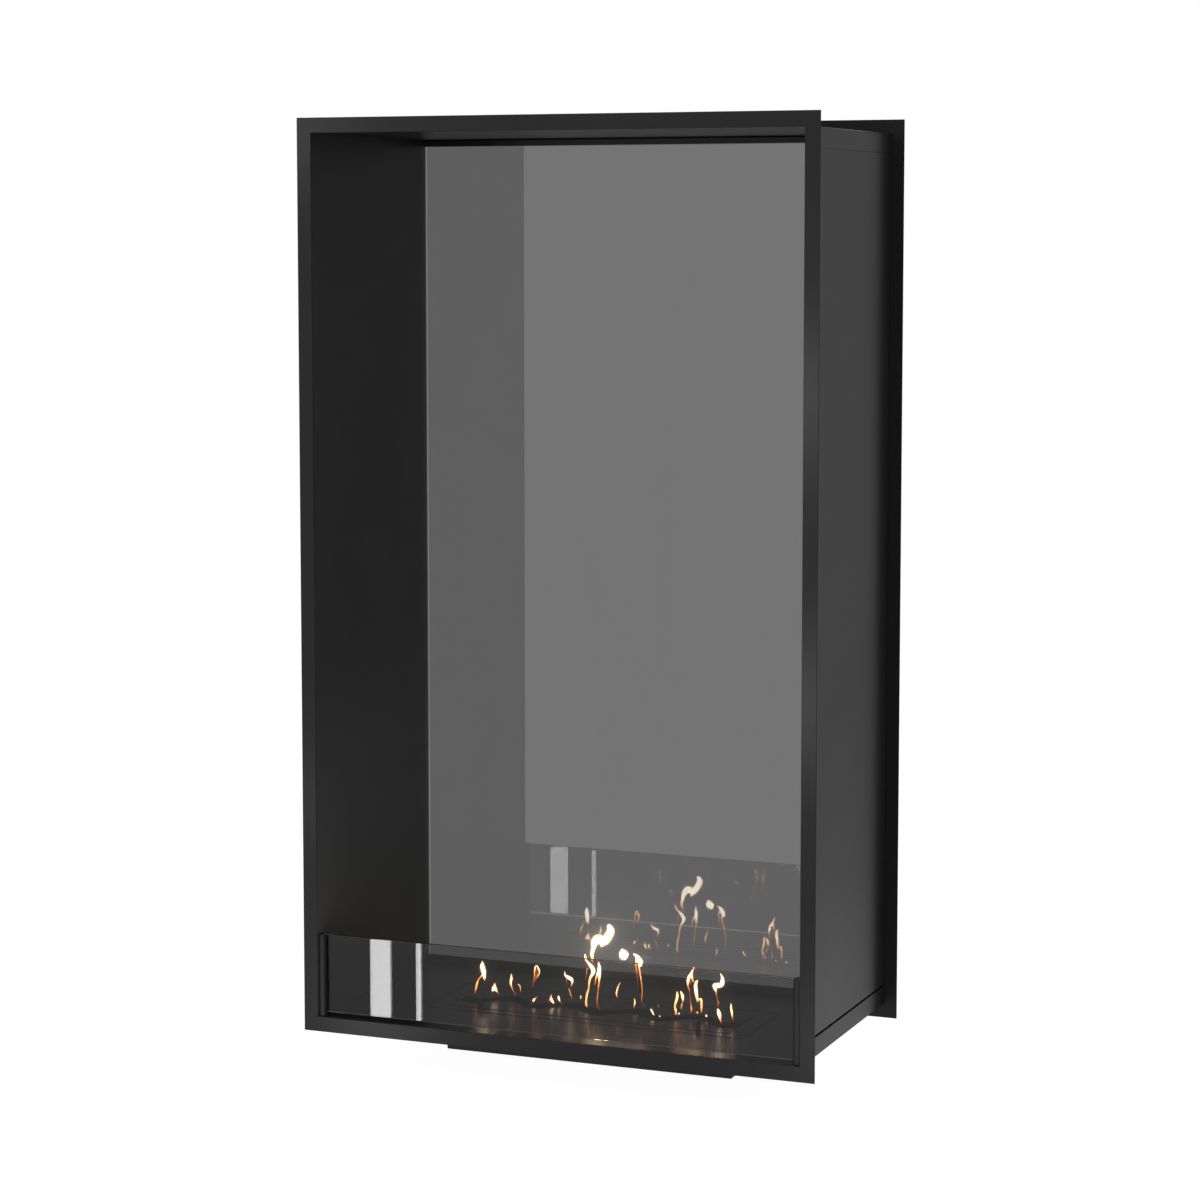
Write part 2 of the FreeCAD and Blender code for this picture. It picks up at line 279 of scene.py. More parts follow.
def makeSettledDust():
    # Fine dust, thicker on what faces up and gathered in loose drifts
    tree, given, out = newGroup(
        "settledDust",
        {"Amount": 0.3, "Drift Scale": 14.0, "Fleck Scale": 900.0},
        ("Mask",))
    facing = splitAxes(tree, trueNormal(tree))["Z"]
    spot = objectSpot(tree)
    drift = noiseOver(tree, spot, given["Drift Scale"], 6.0, 0.65)
    fleck = noiseOver(tree, spot, given["Fleck Scale"], 1.0)
    cover = mathNode(tree, "MULTIPLY", stretch(tree, drift, *dustLook["drift"]),
                     stretch(tree, fleck, *dustLook["fleck"]))
    cover = mathNode(tree, "MULTIPLY", cover, stretch(tree, facing, *dustLook["facing"]))
    feed(tree, mathNode(tree, "MULTIPLY", cover, given["Amount"], clamp=True), out["Mask"])
    return tree


sootShadeLook = {
    "upright": (0.9, 0.5),              # upright cut edges, darkened as painted shade
    "sunken": (0.5 * mm, 0.8 * mm),     # how far below the plates' top the painted shade starts and is full
    "seams": (                          # painted shade in the gaps round these, each with how much thinner its ends and rear are
        (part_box("burner_flange"), 1.0),
        (plateSpan, 1.8),
    ),
    "frontSeam": 0.45,                  # the front seam's dark line is wider than the others
    "seam": (0.6, 0.4),
    "ragged": (0.3, 0.7, 0.9, 1.1),     # how the lips' soot reaches less far and further
    "lip": (1.05, 0.85),
    "slotEnd": 1.5 * mm,
    "thinned": (0.2, 0.6, 0.75, 1.0),
}


def makeSootAndPaintedShade():
    # Soot along both lips of the wavy slot, and painted shade: dark on upright cut edges, on whatever lies
    # lower than the burner's plates and in the seams round them
    tree, given, out = newGroup(
        "settledSoot",
        {"Amount": 1.0, "Tongue Scale": 90.0, "Seam Width": 0.0022, "Lip Width": 0.014},
        ("Mask", "Lip"))
    facing = splitAxes(tree, trueNormal(tree))["Z"]
    spot = objectSpot(tree)
    place = splitAxes(tree, spot)
    offMiddle = mathNode(tree, "ABSOLUTE", place["X"])
    tongue = noiseOver(tree, spot, given["Tongue Scale"], 4.0, 0.6)
    # Painted shade on upright faces and below the plates' top
    upright = stretch(tree, mathNode(tree, "ABSOLUTE", facing), *sootShadeLook["upright"])
    sunken = stretch(tree, place["Z"], *(plateTop - depth for depth in sootShadeLook["sunken"]))
    mask = mathNode(tree, "MAXIMUM", upright, sunken)
    # Painted shade in the seams' gaps
    for (low, high), thinner in sootShadeLook["seams"]:
        pastEnd = mathNode(tree, "MULTIPLY", mathNode(tree, "SUBTRACT", offMiddle, high.x), thinner)
        pastFront = mathNode(tree, "MULTIPLY", mathNode(tree, "SUBTRACT", low.y, place["Y"]),
                             sootShadeLook["frontSeam"])
        pastRear = mathNode(tree, "MULTIPLY", mathNode(tree, "SUBTRACT", place["Y"], high.y), thinner)
        past = mathNode(tree, "MAXIMUM", pastEnd, mathNode(tree, "MAXIMUM", pastFront, pastRear))
        away = mathNode(tree, "DIVIDE", mathNode(tree, "ABSOLUTE", past), given["Seam Width"])
        mask = mathNode(tree, "MAXIMUM", mask, stretch(tree, away, *sootShadeLook["seam"]))
    # Soot along both lips of the slot
    swing = mathNode(tree, "COSINE", mathNode(tree, "MULTIPLY", place["X"], 2 * math.pi / wave["period"]))
    slot = mathNode(tree, "SUBTRACT", wave["middle"], mathNode(tree, "MULTIPLY", swing, wave["height"]))
    away = mathNode(tree, "ABSOLUTE", mathNode(tree, "SUBTRACT", place["Y"], slot))
    reach = mathNode(tree, "MULTIPLY", given["Lip Width"], stretch(tree, tongue, *sootShadeLook["ragged"]))
    lip = stretch(tree, mathNode(tree, "DIVIDE", away, reach), *sootShadeLook["lip"])
    between = stretch(tree, offMiddle, plateEnd, plateEnd - sootShadeLook["slotEnd"])
    lip = mathNode(tree, "MULTIPLY", lip, between)
    feed(tree, lip, out["Lip"])
    mask = mathNode(tree, "MAXIMUM", mask, lip)
    mask = mathNode(tree, "MULTIPLY", mask, stretch(tree, tongue, *sootShadeLook["thinned"]))
    feed(tree, mathNode(tree, "MULTIPLY", mask, given["Amount"], clamp=True), out["Mask"])
    return tree


hazeLook = {
    "drawnOut": (1.0, 1.0, 0.22),       # smears run up and down
    "leaning": (0.0, 0.35, 0.0),
    "smear": (0.42, 0.8),
    # Edge faces; the painted glow sits on the side edges away from their ends, and on the bottom edge
    "edge": (0.9, 0.6),
    "endEdge": (0.6, 0.4),
    "lowEdge": (-0.6, -0.9),
    "smearShade": 0.96,                 # tint under a smear, as a share of the clean pane's
    "grinding": 1800.0,
    "grindDepth": 0.004 * mm,
}


def makeGlassHaze():
    # Wiped smears, a faint film, the narrow edges, and a painted glow on the side and bottom edges where
    # light running in the pane would show
    tree, given, out = newGroup(
        "glassHaze",
        {"Smear Scale": 9.0, "Film": 0.5},
        ("Film", "Edge", "PaintedGlow", "Grinding"))
    spot = objectSpot(tree)
    sweep = addNode(tree, "ShaderNodeMapping", Vector=spot, Scale=hazeLook["drawnOut"],
                    Rotation=hazeLook["leaning"]).outputs[0]
    smear = noiseOver(tree, sweep, given["Smear Scale"], 7.0, 0.62, 0.8)
    film = mathNode(tree, "MULTIPLY", stretch(tree, smear, *hazeLook["smear"]), given["Film"])
    normal = splitAxes(tree, trueNormal(tree))
    edge = stretch(tree, mathNode(tree, "ABSOLUTE", normal["Y"]), *hazeLook["edge"])
    sideways = stretch(tree, mathNode(tree, "ABSOLUTE", normal["Z"]), *hazeLook["endEdge"])
    # Painted glow: the side edges away from their ends, and the bottom edge
    gathered = mathNode(tree, "MULTIPLY", edge, sideways)
    gathered = mathNode(tree, "MAXIMUM", gathered, stretch(tree, normal["Z"], *hazeLook["lowEdge"]))
    feed(tree, film, out["Film"])
    feed(tree, edge, out["Edge"])
    feed(tree, gathered, out["PaintedGlow"])
    feed(tree, noiseOver(tree, spot, hazeLook["grinding"], 2.0), out["Grinding"])
    return tree


coatGrain = makeCoatGrain()
edgeWearAndSheen = makeEdgeWearAndSheen()
settledDust = makeSettledDust()
settledSoot = makeSootAndPaintedShade()
glassHaze = makeGlassHaze()
print("shared effects ready")


# Finishes, one for each slot of the record

def newMaterial(name):
    material = bpy.data.materials.new(name)
    material.use_nodes = True
    material.node_tree.nodes.clear()
    finishes[name] = material
    return material.node_tree


def finishWith(tree, **sockets):
    # The surface itself, set or fed at its own sockets
    shader = addNode(tree, "ShaderNodeBsdfPrincipled", **sockets)
    end = tree.nodes.new("ShaderNodeOutputMaterial")
    tree.links.new(shader.outputs[0], end.inputs["Surface"])


coats = {
    # depth is the grain's height in mm, peel its fineness, and the pair of heights where the painted light
    # low on the walls fades out upwards
    "black_coat": dict(
        colour=(0.0095, 0.0095, 0.0100), worn=(0.030, 0.030, 0.031), rough=0.36, spread=0.015,
        depth=0.020, peel=620.0, dust=0.10, edge=0.5),
    "skin_coat": dict(
        colour=(0.0090, 0.0090, 0.0094), worn=(0.028, 0.028, 0.029), rough=0.31, spread=0.015,
        depth=0.012, peel=520.0, dust=0.12, edge=0.5, ior=1.54),
    "liner_coat": dict(
        colour=(0.0166, 0.0166, 0.0169), worn=(0.020, 0.020, 0.020), rough=0.32, spread=0.02,
        depth=0.014, peel=760.0, dust=0.10, edge=0.3, ash=(0.56, 0.10)),
    "floor_coat": dict(
        colour=(0.0075, 0.0075, 0.0078), worn=(0.030, 0.030, 0.030), rough=0.31, spread=0.02,
        depth=0.010, peel=640.0, dust=0.05, edge=0.4, soot=0.8, ior=1.40),
    "burner_coat": dict(
        colour=(0.0078, 0.0078, 0.0080), worn=(0.030, 0.029, 0.028), rough=0.31, spread=0.02,
        depth=0.010, peel=700.0, dust=0.03, edge=0.5, soot=1.0, ior=1.40),
    # Darker copy of the liner coat, painted shade for the ceiling
    "shaded_liner_coat": dict(
        colour=(0.0085, 0.0084, 0.0084), worn=(0.020, 0.020, 0.020), rough=0.36, spread=0.02,
        depth=0.014, peel=760.0, dust=0.0, edge=0.3, ior=1.39),
    # Dead black, painted shade for the deck in the slot and the strips in the tray seams
    "shade_black": dict(
        colour=(0.0040, 0.0039, 0.0038), worn=(0.010, 0.010, 0.010), rough=0.75, spread=0.05,
        depth=0.020, peel=700.0, dust=0.0, edge=0.2, soot=1.0, ior=1.12),
    "knob_coat": dict(
        colour=(0.0050, 0.0050, 0.0052), worn=(0.040, 0.039, 0.038), rough=0.50, spread=0.015,
        depth=0.010, peel=1400.0, dust=0.05, edge=0.6),
}

ageing = {
    # What lies on every coat, and what that does to its gloss; the colours of painted light and of soot
    # with painted shade are among it
    "dust": (0.16, 0.155, 0.145),
    # colour of the painted light low on the liner walls
    "ash": (0.060, 0.060, 0.059),
    "soot": (0.0022, 0.0021, 0.0020),
    "deepPatch": 0.8,                   # colour of the darker patches, as a share of the coat's own
    "patchScale": 5.0,
    "finerSpeckle": 3.7,                # speckle is this much finer than the peel
    "edgeRadius": 0.5 * mm,
    "edgeBreakup": 45.0,
    "sootDulls": 0.62,
    "wearShines": 0.16,
    "dustDulls": 0.5,
}


def makeCoat(name, look):
    tree = newMaterial(name)
    grain = useGroup(tree, coatGrain, PeelScale=look["peel"],
                     SpeckleScale=look["peel"] * ageing["finerSpeckle"], PatchScale=ageing["patchScale"])
    wearAndSheen = useGroup(tree, edgeWearAndSheen, Radius=ageing["edgeRadius"], Amount=look["edge"],
                    BreakupScale=ageing["edgeBreakup"])["Mask"]
    dust = useGroup(tree, settledDust, Amount=look["dust"])["Mask"]
    deep = tuple(ageing["deepPatch"] * c for c in look["colour"])
    colour = mixColour(tree, grain["Patch"], look["colour"], deep)
    # Lighter along the edges: worn paint and a painted highlight
    colour = mixColour(tree, wearAndSheen, colour, look["worn"])
    colour = mixColour(tree, dust, colour, ageing["dust"])
    if "ash" in look:
        # Painted light: the liner's paint is lighter towards the bottom, near the burner
        height = splitAxes(tree, objectSpot(tree))["Z"]
        colour = mixColour(tree, stretch(tree, height, *look["ash"]), colour, ageing["ash"])
    half = look["spread"]
    rough = stretch(tree, grain["Patch"], 0.0, 1.0, look["rough"] - half, look["rough"] + half)
    # Soot along the slot's lips, and painted shade in its hollows and seams, darken the coat
    if "soot" in look:
        soot = useGroup(tree, settledSoot, Amount=look["soot"])["Mask"]
        colour = mixColour(tree, soot, colour, ageing["soot"])
        dulled = mathNode(tree, "MULTIPLY", soot, ageing["sootDulls"])
        rough = mathNode(tree, "ADD", rough, dulled, clamp=True)
    rough = mathNode(tree, "SUBTRACT", rough, mathNode(tree, "MULTIPLY", wearAndSheen, ageing["wearShines"]))
    rough = mathNode(tree, "ADD", rough, mathNode(tree, "MULTIPLY", dust, ageing["dustDulls"]), clamp=True)
    finishWith(tree, BaseColor=colour, Roughness=rough, IOR=look.get("ior", 1.5),
               Normal=bumpFrom(tree, grain["Height"], look["depth"] * mm))


panes = {
    # tint: what share of light the glass itself lets through; ior is raised by the heat-reflecting coat;
    # the last colour is the painted glow of the pane's edges
    "rear_smoked_glass": dict(
        tint=(0.128, 0.128, 0.129), ior=1.72, edge=(0.80, 0.82, 0.81), polish=0.03, film=0.6,
        gathered=(0.20, 0.21, 0.205)),
    "low_smoked_glass": dict(
        tint=(0.435, 0.435, 0.438), ior=1.67, edge=(0.78, 0.80, 0.79), polish=0.02, film=0.6,
        gathered=(0.075, 0.078, 0.076)),
}


def makeSmokedGlass(name, look):
    tree = newMaterial(name)
    haze = useGroup(tree, glassHaze, Film=look["film"])
    smeared = tuple(hazeLook["smearShade"] * c for c in look["tint"])
    colour = mixColour(tree, haze["Film"], look["tint"], smeared)
    colour = mixColour(tree, haze["Edge"], colour, look["edge"])
    rough = mathNode(tree, "MULTIPLY", haze["Edge"], look["polish"])
    ground = mathNode(tree, "MULTIPLY", haze["Grinding"], haze["Edge"])
    # Painted glow on the edges, emitted though the pane is no lamp
    gathered = mixColour(tree, haze["PaintedGlow"], (0.0, 0.0, 0.0), look["gathered"])
    finishWith(tree, BaseColor=colour, Roughness=rough, IOR=look["ior"], TransmissionWeight=1.0,
               EmissionColor=gathered, EmissionStrength=1.0,
               Normal=bumpFrom(tree, ground, hazeLook["grindDepth"]))


sealRubber = {
    "colour": (0.0060, 0.0060, 0.0062),
    "bloomed": (0.0100, 0.0100, 0.0102),
    "dust": (0.15, 0.145, 0.135),
    "dustAmount": 0.04,
    "rough": (0.55, 0.75),
    "depth": 0.02 * mm,
    "ior": 1.45,
}


def makeSealRubber():
    tree = newMaterial("black_seal")
    grain = useGroup(tree, coatGrain, PeelScale=900.0, SpeckleScale=3000.0, PatchScale=30.0)
    dust = useGroup(tree, settledDust, Amount=sealRubber["dustAmount"])["Mask"]
    colour = mixColour(tree, grain["Patch"], sealRubber["colour"], sealRubber["bloomed"])
    colour = mixColour(tree, dust, colour, sealRubber["dust"])
    rough = stretch(tree, grain["Patch"], 0.0, 1.0, *sealRubber["rough"])
    finishWith(tree, BaseColor=colour, Roughness=rough, IOR=sealRubber["ior"],
               Normal=bumpFrom(tree, grain["Height"], sealRubber["depth"]))


brushedSteel = {
    "drawn": (14.0, 900.0, 900.0),      # long fine brush lines along X
    "hollow": (0.46, 0.45, 0.44),
    "ridge": (0.60, 0.59, 0.58),
    "heatTint": (0.42, 0.34, 0.24),
    "tintAmount": 0.5,
    "tintScale": 16.0,
    "worn": (0.72, 0.71, 0.70),
    "rough": (0.24, 0.42),
    "depth": 0.01 * mm,
}


def makeBrushedSteel():
    # Brush lines, with heat tint gathered in patches
    tree = newMaterial("stainless")
    drawn = addNode(tree, "ShaderNodeMapping", Vector=objectSpot(tree), Scale=brushedSteel["drawn"])
    lines = noiseOver(tree, drawn.outputs[0], 3.0, 3.0, 0.6)
    patch = useGroup(tree, coatGrain, PatchScale=brushedSteel["tintScale"])["Patch"]
    wearAndSheen = useGroup(tree, edgeWearAndSheen, Radius=0.3 * mm, Amount=0.6)["Mask"]
    colour = mixColour(tree, lines, brushedSteel["hollow"], brushedSteel["ridge"])
    tinted = mathNode(tree, "MULTIPLY", patch, brushedSteel["tintAmount"])
    colour = mixColour(tree, tinted, colour, brushedSteel["heatTint"])
    # Lighter along the edges: worn steel and a painted highlight
    colour = mixColour(tree, wearAndSheen, colour, brushedSteel["worn"])
    rough = stretch(tree, lines, 0.2, 0.8, *brushedSteel["rough"])
    finishWith(tree, BaseColor=colour, Metallic=1.0, Roughness=rough,
               Normal=bumpFrom(tree, lines, brushedSteel["depth"]))


fibreLook = {
    "shade": (0.62, 0.60, 0.56),
    "colour": (0.88, 0.87, 0.84),
    "singed": (0.30, 0.22, 0.15),
    "charred": (0.020, 0.018, 0.016),
    "singePatches": (0.55, 1.0, 0.0, 0.45),
    "charDepth": (9 * mm, 3 * mm),      # char fades in between these depths below the wool's top
    "charPatches": (0.0, 0.6, 0.90, 0.99),
    "rough": (0.85, 1.0),
    "depth": 0.6 * mm,
}


def makeFibreWool():
    # Matted white ceramic wool, singed brown in spots and charred where it meets the flames
    tree = newMaterial("fibre")
    spot = objectSpot(tree)
    tuft = noiseOver(tree, spot, 260.0, 6.0, 0.75, 1.6)
    singe = useGroup(tree, coatGrain, PatchScale=24.0)["Patch"]
    colour = mixColour(tree, tuft, fibreLook["shade"], fibreLook["colour"])
    singed = stretch(tree, singe, *fibreLook["singePatches"])
    colour = mixColour(tree, singed, colour, fibreLook["singed"])
    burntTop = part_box("ceramic_fibre")[1].z
    height = splitAxes(tree, spot)["Z"]
    high = stretch(tree, height, *(burntTop - depth for depth in fibreLook["charDepth"]))
    char = mathNode(tree, "MULTIPLY", high, stretch(tree, singe, *fibreLook["charPatches"]))
    colour = mixColour(tree, char, colour, fibreLook["charred"])
    rough = stretch(tree, tuft, 0.2, 0.8, *fibreLook["rough"])
    finishWith(tree, BaseColor=colour, Roughness=rough, Normal=bumpFrom(tree, tuft, fibreLook["depth"]))


velvetLook = {
    "deep": (0.0016, 0.0015, 0.0014),
    "pale": (0.0042, 0.0040, 0.0037),
    "rough": (0.88, 1.0),
    "cover": 0.92,
    "depth": 0.05 * mm,
}


def makeSootFilm():
    # Dead black velvet of soot, fading out away from the slot
    tree = newMaterial("sootFilm")
    soot = useGroup(tree, settledSoot, Amount=1.0)
    grain = useGroup(tree, coatGrain, PeelScale=1400.0, SpeckleScale=4000.0, PatchScale=60.0)
    colour = mixColour(tree, grain["Patch"], velvetLook["deep"], velvetLook["pale"])
    rough = stretch(tree, grain["Speckle"], 0.0, 1.0, *velvetLook["rough"])
    cover = mathNode(tree, "MULTIPLY", soot["Lip"], velvetLook["cover"])
    finishWith(tree, BaseColor=colour, Roughness=rough, SpecularIORLevel=0.15, Alpha=cover,
               Normal=bumpFrom(tree, grain["Height"], velvetLook["depth"]))


for coatName, coatLook in coats.items():
    makeCoat(coatName, coatLook)
for paneName, paneLook in panes.items():
    makeSmokedGlass(paneName, paneLook)
makeSealRubber()
makeBrushedSteel()
makeFibreWool()
makeSootFilm()
print("finishes ready:", len(finishes))


# Coats painted darker as shade: dead black on the deck under the slot, and a darker copy of the liner coat
# on the ceiling over the flames
shadedNodes = {"burner_deck": "shade_black", "ceiling_panel": "shaded_liner_coat"}

edgeEasing = {
    "slots": ("black_coat", "skin_coat", "floor_coat", "liner_coat", "burner_coat", "knob_coat"),
    "plain": 0.25 * mm,
    "radius": {"burner_flange": 0.9 * mm, "floor_panel": 0.7 * mm, "rear_wave_plate": 0.5 * mm,
               "front_wave_plate": 0.6 * mm, "left_knob": 0.3 * mm, "right_knob": 0.3 * mm},
    "steps": 2,
    "sharper": math.radians(35),        # edges sharper than this are eased
    "weld": 0.001 * mm,
}


def easeEdges(piece, radius):
    weld = piece.modifiers.new("weld", "WELD")
    weld.merge_threshold = edgeEasing["weld"]
    ease = piece.modifiers.new("ease", "BEVEL")
    ease.width, ease.segments = radius, edgeEasing["steps"]
    ease.limit_method, ease.angle_limit = "ANGLE", edgeEasing["sharper"]
    ease.use_clamp_overlap = True
    ease.harden_normals = True


def dressNodes():
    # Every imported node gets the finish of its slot, and rigid sheet gets its edges eased
    for part in frame["record"]["subparts"]:
        node, slotName = nodes[part["node"]], part["material_slot"]
        node.data.materials.clear()
        node.data.materials.append(finishes[shadedNodes.get(part["node"], slotName)])
        if slotName in edgeEasing["slots"]:
            easeEdges(node, edgeEasing["radius"].get(part["node"], edgeEasing["plain"]))
    print("nodes dressed:", len(nodes))


# Soot burnt onto both lips of the slot: a film on each plate, which slides with its plate

sootStrip = {
    "near": 0.7 * mm,       # starts this far from the lip, past its rounded edge
    "far": 8.4 * mm,
    "ragged": 0.5 * mm,     # how uneven its outer edge is
    "raggedTurns": 140,
    "lift": 0.02 * mm,
    "thick": 0.08 * mm,
    "step": 1.5 * mm,
    "short": 0.8 * mm,      # ends this far before the plates do
}


def makeSootStrip(name, side, body):
    mesh = bmesh.new()
    reach = plateEnd - sootStrip["short"]
    steps = round(2 * reach / sootStrip["step"])
    low = plateTop + sootStrip["lift"]
    high = low + sootStrip["thick"]
    rings = []
    for i in range(steps + 1):
        x = -reach + 2 * reach * i / steps
        lip = slotLine(x) + side * wave["gap"] / 2
        uneven = noise.noise(Vector((x * sootStrip["raggedTurns"], side * 5.0, 0.0)))
        near = lip + side * sootStrip["near"]
        far = lip + side * (sootStrip["far"] + sootStrip["ragged"] * uneven)
        corners = ((near, low), (far, low), (far, high), (near, high))
        rings.append([mesh.verts.new((x, y, z)) for y, z in corners])
    closeRings(mesh, rings)
    placeMesh(name, mesh, "sootFilm", body)


# The fire: tongues of flame along the wavy slot

# Each tongue: (along the slot, height over the plates, thickness) in mm, from its tip down
flames = {
    "flame_01": [
        [(-168, 55, 1.0), (-168, 48, 6.6), (-167, 41, 7.4), (-166, 34, 5.0), (-165, 27, 1.2)],
        [(-167, 38, 3.5), (-169, 34, 2.4), (-173, 30, 2.0), (-176, 23, 3.0), (-178, 15, 2.6),
         (-180, 8, 1.0)],
    ],
    "flame_02": [
        [(-158, 22, 1.2), (-158, 18, 3.8), (-160, 13, 5.2), (-162, 9, 2.0)],
        [(-158, 18, 2.4), (-157, 13, 4.4), (-154, 9, 2.2), (-151, 5, 0.8)],
    ],
    "flame_03": [
        [(-136, 35, 1.6), (-136, 28, 3.8), (-137, 22, 3.4), (-136, 17, 2.4), (-133, 11, 1.8),
         (-129, 5, 1.4)],
    ],
    "flame_04": [[(-124, 23, 1.6), (-121, 20, 2.0), (-120, 11, 0.9)]],
    "flame_05": [
        [(-89, 56, 1.4), (-91, 52, 2.2), (-92, 46, 1.8), (-93, 39, 1.4), (-95, 32, 1.0)],
        [(-89, 56, 1.4), (-87, 52, 2.6), (-85, 47, 2.2), (-87, 41, 1.6), (-91, 35, 1.0)],
        [(-89, 50, 3.2), (-89, 44, 4.2), (-91, 38, 4.0), (-94, 31, 2.8), (-96, 24, 1.0)],
    ],
    "flame_06": [[(-88, 14, 1.0), (-90, 11, 1.6), (-93, 8, 3.6), (-94, 4, 0.8)]],
    "flame_07": [
        [(-72, 15, 1.4), (-73, 11, 3.2), (-75, 6, 2.6), (-76, 3, 0.8)],
        [(-72, 10, 2.4), (-71, 6, 3.6), (-68, 2, 1.2)],
    ],
    "flame_08": [[(-64, 13, 1.4), (-64, 9, 3.4), (-61, 3, 1.0)]],
    "flame_09": [
        [(-58, 46, 1.2), (-57, 40, 3.2), (-52, 37, 5.0), (-48, 35, 4.6), (-47, 31, 3.2), (-49, 24, 1.2)],
        [(-56, 38, 2.0), (-55, 31, 1.3), (-55, 24, 0.8)],
        [(-52, 22, 1.6), (-50, 16, 2.0), (-48, 10, 1.6), (-49, 4, 0.8)],
    ],
    "flame_10": [[(-33, 16, 1.0), (-33, 13, 2.2), (-33, 9, 1.0)]],
    "flame_11": [
        [(9, 116, 4.0), (12, 109, 10.0), (9, 101, 10.5), (3, 94, 11.5), (-6, 95, 12.0), (-11, 90, 9.5),
         (-13, 83, 6.0), (-15, 74, 4.4), (-14, 68, 3.2), (-12, 62, 1.6)],
        [(3, 94, 9.0), (0, 88, 5.0), (-1, 85, 2.0)],
        [(-25, 73, 2.2), (-24, 68, 3.0), (-20, 63, 3.6), (-15, 58, 5.4), (-12, 53, 6.2), (-13, 48, 4.8),
         (-16, 43, 3.6), (-18, 36, 3.0), (-19, 27, 2.6), (-21, 20, 3.2), (-22, 11, 3.2), (-22, 5, 3.2),
         (-20, 2.4, 2.0)],
        [(-20, 56, 1.4), (-22, 46, 1.4), (-23, 38, 1.0)],
    ],
    "flame_12": [
        [(1, 69, 1.6), (2, 61, 5.0), (2, 54, 5.4), (2, 43, 2.8), (1, 35, 2.1), (0, 27, 1.7),
         (-1, 18, 2.1), (-1, 10, 1.8), (3, 3, 0.9)],
        [(0, 54, 4.0), (-2, 50, 2.8), (-4, 42, 2.0), (-5, 34, 1.0)],
    ],
    "flame_13": [[(27, 41, 1.0), (24, 35, 2.0), (22, 29, 2.5), (21, 24, 2.4), (23, 18, 1.1)]],
    "flame_14": [[(24, 79, 4.0), (28, 77, 13.0), (34, 74, 9.5)], [(27, 84, 2.5), (28, 78, 9.5)]],
    "flame_15": [
        [(41, 78, 1.4), (46, 75, 4.4), (49, 71, 6.8), (51, 67, 7.2), (53, 62, 3.4)],
        [(46, 71, 4.0), (45, 64, 2.8), (46, 56, 2.2), (48, 45, 1.4), (49, 32, 0.9)],
        [(50, 66, 4.0), (50, 59, 2.6), (52, 49, 2.3), (54, 39, 2.0), (55, 29, 1.8), (54, 18, 1.8),
         (55, 10, 1.0)],
    ],
    "flame_16": [[(42, 17, 1.6), (43, 12, 2.4), (42, 7, 1.8), (42, 2.4, 1.2)]],
    "flame_17": [[(74, 11, 1.8), (77, 6, 2.4), (79, 2, 1.2)]],
    "flame_18": [
        [(108, 36, 1.8), (109, 31, 3.6), (108, 24, 3.6), (106, 17, 3.0), (107, 11, 3.4), (109, 4, 1.4)],
    ],
    "flame_19": [
        [(112, 36, 2.0), (115, 31, 4.4), (116, 25, 3.2), (116, 21, 1.4)],
        [(115, 22, 1.2), (114, 17, 2.5), (113, 11, 1.4)],
    ],
    "flame_20": [
        [(128, 67, 2.4), (126, 62, 3.4), (124, 57, 5.2), (122, 53, 5.8), (120, 48, 3.8), (120, 42, 2.2),
         (122, 36, 1.5), (123, 27, 1.3), (124, 17, 1.8), (125, 12, 2.6), (124, 6, 1.4)],
        [(125, 61, 3.0), (126, 55, 3.6), (128, 49, 1.8), (130, 46, 1.6)],
        [(134, 51, 2.0), (131, 47, 4.6), (131, 42, 5.0), (132, 34, 4.8), (133, 27, 3.8), (134, 21, 2.0)],
        [(134, 24, 1.6), (138, 26, 3.4), (139, 20, 3.2), (139, 13, 3.0), (139, 7, 1.4)],
        [(124, 54, 2.4), (124, 49, 3.4), (123, 44, 2.2)],
    ],
    "flame_21": [
        [(172, 69, 1.2), (175, 64, 3.6), (176, 59, 5.8), (175, 54, 6.2), (169, 52, 7.6), (165, 51, 6.4),
         (166, 46, 4.2), (167, 41, 2.0), (168, 35, 1.6), (170, 29, 2.3), (169, 23, 1.2)],
        [(169, 21, 2.4), (171, 15, 5.4), (172, 11, 4.4), (173, 6, 2.6), (175, 2, 1.2)],
    ],
    "flame_22": [[(187, 30, 1.2), (187, 23, 2.9), (188, 17, 3.1), (189, 10, 1.9), (190, 6, 0.8)]],
}

# How hot the strands of a tongue burn where it isn't the usual, in the order of the strands
warmth = {
    "flame_04": (1.6,),
    "flame_05": (1.8, 1.8, -0.25),
    "flame_06": (1.5,),
    "flame_07": (0.4, 1.8),
    "flame_08": (1.5,),
    "flame_09": (1.2, 0.3, 0.8),
    "flame_10": (1.8,),
    "flame_13": (1.5,),
    "flame_15": (1.2, 0.6, 1.0),
    "flame_16": (1.5,),
    "flame_17": (2.4,),
    "flame_20": (1.1, 1.0, 1.0, 1.0, -0.4),
    "flame_22": (1.4,),
}

# Loose sparks of flame: (along the slot, height, thickness) in mm, and how hot each burns
sparks = [
    (59, 10, 1.6, 0.3), (86, 16, 3.0, 0.0), (88, 3, 2.2, 2.0), (107, 6, 2.2, 1.0), (111, 6, 2.4, 2.0),
    (132, 6, 2.6, 1.4), (146, 4, 2.8, 2.0), (-60, 1, 1.6, 1.0), (-96, 2, 1.4, 1.0),
]

